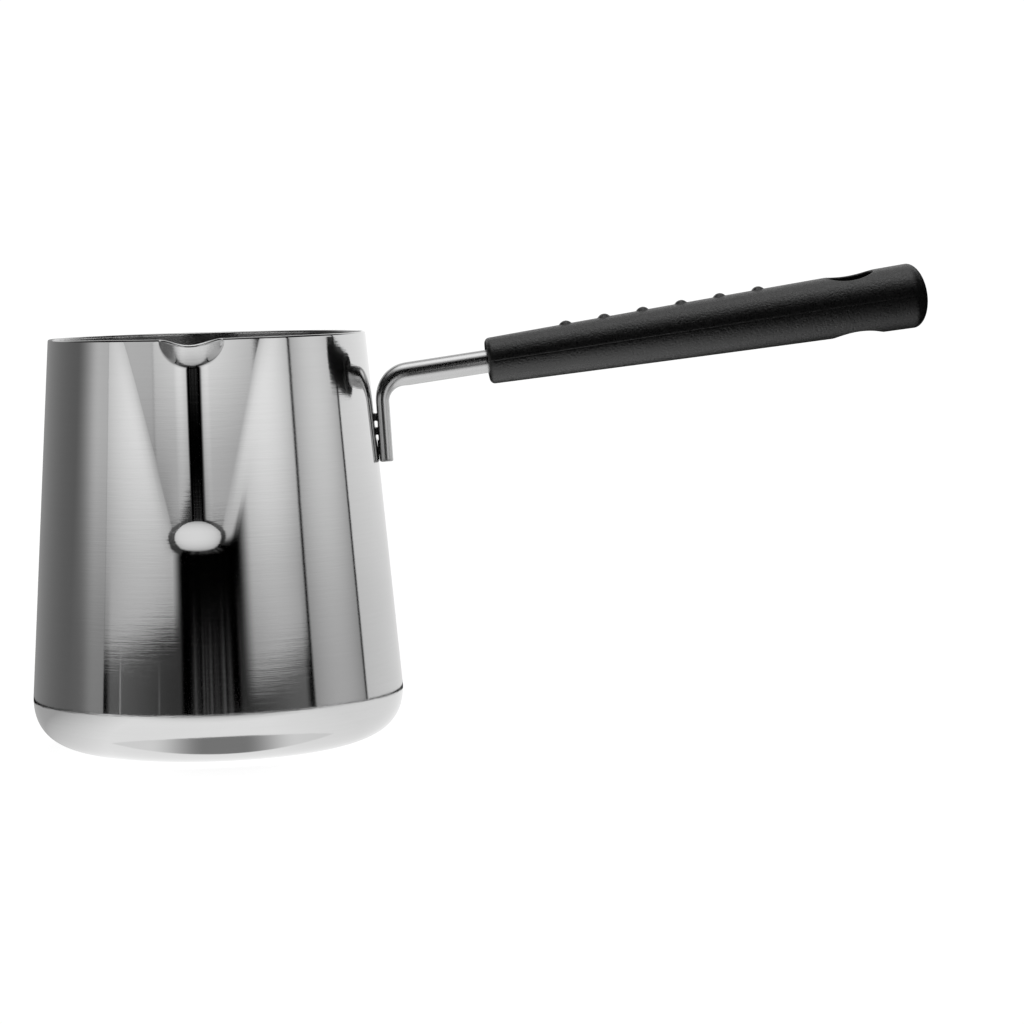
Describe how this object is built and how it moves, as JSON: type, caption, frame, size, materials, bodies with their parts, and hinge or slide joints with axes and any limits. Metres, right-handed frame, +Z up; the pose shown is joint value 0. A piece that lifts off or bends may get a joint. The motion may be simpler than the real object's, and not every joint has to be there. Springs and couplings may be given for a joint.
{
  "type": "candle melting pot",
  "caption": "Steel pouring pot with a sloping round wall, a pressed V-shaped spout and a bent tube handle with a plastic grip.",
  "frame": {"origin": "centre of the pot's flat base, on the surface it stands on", "axes": "+Z up, +X from the pot's axis along the handle, and the spout points close to -Y, 93 degrees round from the handle"},
  "size_m": [0.1947, 0.08, 0.0988],
  "materials": {
    "cup_steel": "polished, with fine lines round the wall",
    "tube_steel": "satin, drawn lines along the tube",
    "weld_steel": "dark, as welded",
    "grip_plastic": "fine-grained black moulding"
  },
  "bodies": {
    "root": {"pot_body": "cup_steel", "handle_tube": "tube_steel", "weld_spot_upper": "weld_steel", "weld_spot_middle": "weld_steel", "weld_spot_lower": "weld_steel", "grip": "grip_plastic"}
  },
  "joints": []
}
